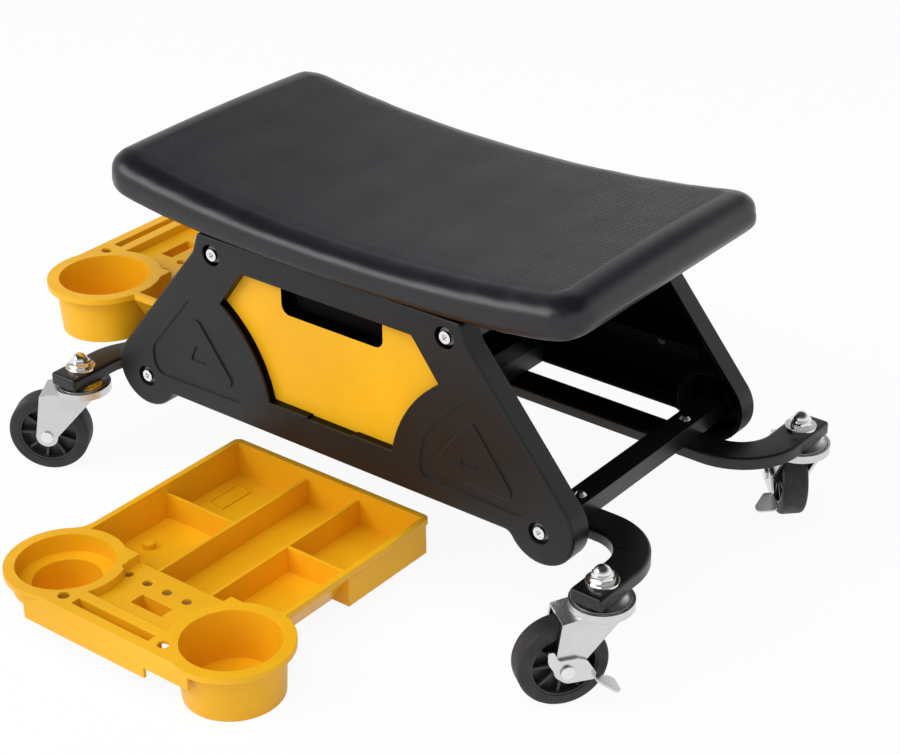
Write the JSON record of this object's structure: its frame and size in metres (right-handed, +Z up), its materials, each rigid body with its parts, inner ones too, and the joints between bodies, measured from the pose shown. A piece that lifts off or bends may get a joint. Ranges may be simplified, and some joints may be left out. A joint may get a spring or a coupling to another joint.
{
  "type": "rolling creeper seat",
  "caption": "Low rolling mechanic's seat with a dished cushion, trapezoid side panels, bent base rails on swivel casters, and slide-in tool trays with cups.",
  "frame": {"origin": "on the floor, in the middle of the whole set's footprint, the standing tray included", "axes": "+X along the seat's length to the bay without a tray, +Y across the seat away from the standing tray, +Z up; the casters' wheels stand on Z = 0"},
  "size_m": [0.6204, 0.5356, 0.2945],
  "materials": {
    "seat_vinyl": "fine cross-hatched grain, satin border",
    "seat_board": "plywood, raw",
    "panel_plastic": "satin charcoal moulding",
    "yellow_plastic": "satin yellow moulding",
    "black_paint": "satin black paint",
    "zinc_plate": "bright zinc plate",
    "bright_steel": "bright plated steel",
    "wheel_plastic": "dark grey moulding",
    "tyre": "matt black rubber",
    "ball_steel": "polished"
  },
  "bodies": {
    "frame": {"seat_cushion": "seat_vinyl", "seat_board": "seat_board", "seat_board_screws": "bright_steel", "side_panel_near": "panel_plastic", "side_panel_far": "panel_plastic", "window_insert_near": "yellow_plastic", "window_insert_far": "yellow_plastic", "insert_screws": "bright_steel", "tray_rail_near": "black_paint", "tray_rail_far": "black_paint", "tray_rail_screws": "bright_steel", "upper_crossbar_left": "black_paint", "upper_crossbar_right": "black_paint", "lower_crossbar_left": "black_paint", "lower_crossbar_right": "black_paint", "crossbar_plugs": "bright_steel", "panel_bolts": "bright_steel", "panel_bolt_washers": "bright_steel", "crossbar_screws": "bright_steel", "base_rail_near": "black_paint", "base_rail_far": "black_paint", "centre_divider": "panel_plastic", "divider_screws": "bright_steel", "stem_washers": "bright_steel", "acorn_nuts": "bright_steel", "stem_near_left": "zinc_plate", "stem_near_right": "zinc_plate", "stem_far_left": "zinc_plate", "stem_far_right": "zinc_plate"},
    "caster_near_left": {"swivel_balls_near_left": "ball_steel", "fork_near_left": "zinc_plate", "axle_near_left": "bright_steel"},
    "wheel_near_left": {"wheel_hub_near_left": "wheel_plastic", "tyre_near_left": "tyre"},
    "caster_near_right": {"swivel_balls_near_right": "ball_steel", "fork_near_right": "zinc_plate", "axle_near_right": "bright_steel"},
    "wheel_near_right": {"wheel_hub_near_right": "wheel_plastic", "tyre_near_right": "tyre"},
    "brake_near_right": {"brake_lever_near_right": "zinc_plate"},
    "caster_far_left": {"swivel_balls_far_left": "ball_steel", "fork_far_left": "zinc_plate", "axle_far_left": "bright_steel"},
    "wheel_far_left": {"wheel_hub_far_left": "wheel_plastic", "tyre_far_left": "tyre"},
    "caster_far_right": {"swivel_balls_far_right": "ball_steel", "fork_far_right": "zinc_plate", "axle_far_right": "bright_steel"},
    "wheel_far_right": {"wheel_hub_far_right": "wheel_plastic", "tyre_far_right": "tyre"},
    "brake_far_right": {"brake_lever_far_right": "zinc_plate"},
    "tray_in_bay": {"tray_mounted": "yellow_plastic"},
    "tray_on_floor": {"tray_standing": "yellow_plastic"}
  },
  "joints": [
    {"name": "swivel_near_left", "type": "hinge", "parent": "frame", "child": "caster_near_left", "pos_m": [-0.24979, -0.05881, 0.0769], "axis": [0, 0, 1], "continuous": true},
    {"name": "wheel_spin_near_left", "type": "hinge", "parent": "caster_near_left", "child": "wheel_near_left", "pos_m": [-0.27578, -0.07569, 0.0345], "axis": [0.5446, -0.8387, 0], "continuous": true},
    {"name": "swivel_near_right", "type": "hinge", "parent": "frame", "child": "caster_near_right", "pos_m": [0.28221, -0.05881, 0.0769], "axis": [0, 0, 1], "continuous": true},
    {"name": "wheel_spin_near_right", "type": "hinge", "parent": "caster_near_right", "child": "wheel_near_right", "pos_m": [0.26399, -0.08389, 0.0345], "axis": [0.809, -0.5878, 0], "continuous": true},
    {"name": "brake_pivot_near_right", "type": "hinge", "parent": "caster_near_right", "child": "brake_near_right", "pos_m": [0.26399, -0.08389, 0.0345], "axis": [-0.809, 0.5878, 0], "range_deg": [0, 15]},
    {"name": "swivel_far_left", "type": "hinge", "parent": "frame", "child": "caster_far_left", "pos_m": [-0.24979, 0.21519, 0.0769], "axis": [0, 0, 1], "continuous": true},
    {"name": "wheel_spin_far_left", "type": "hinge", "parent": "caster_far_left", "child": "wheel_far_left", "pos_m": [-0.27663, 0.23069, 0.0345], "axis": [-0.5, -0.866, 0], "continuous": true},
    {"name": "swivel_far_right", "type": "hinge", "parent": "frame", "child": "caster_far_right", "pos_m": [0.28221, 0.21519, 0.0769], "axis": [0, 0, 1], "continuous": true},
    {"name": "wheel_spin_far_right", "type": "hinge", "parent": "caster_far_right", "child": "wheel_far_right", "pos_m": [0.26068, 0.23749, 0.0345], "axis": [-0.7193, -0.6947, 0], "continuous": true},
    {"name": "brake_pivot_far_right", "type": "hinge", "parent": "caster_far_right", "child": "brake_far_right", "pos_m": [0.26068, 0.23749, 0.0345], "axis": [0.7193, 0.6947, 0], "range_deg": [0, 15]},
    {"name": "tray_slide", "type": "slide", "parent": "frame", "child": "tray_in_bay", "axis": [-1, 0, 0], "range_m": [0, 0.13]},
    {"name": "floor_tray_slide", "type": "slide", "parent": "frame", "child": "tray_on_floor", "axis": [0, -1, 0], "range_m": [0, 0.2]}
  ]
}
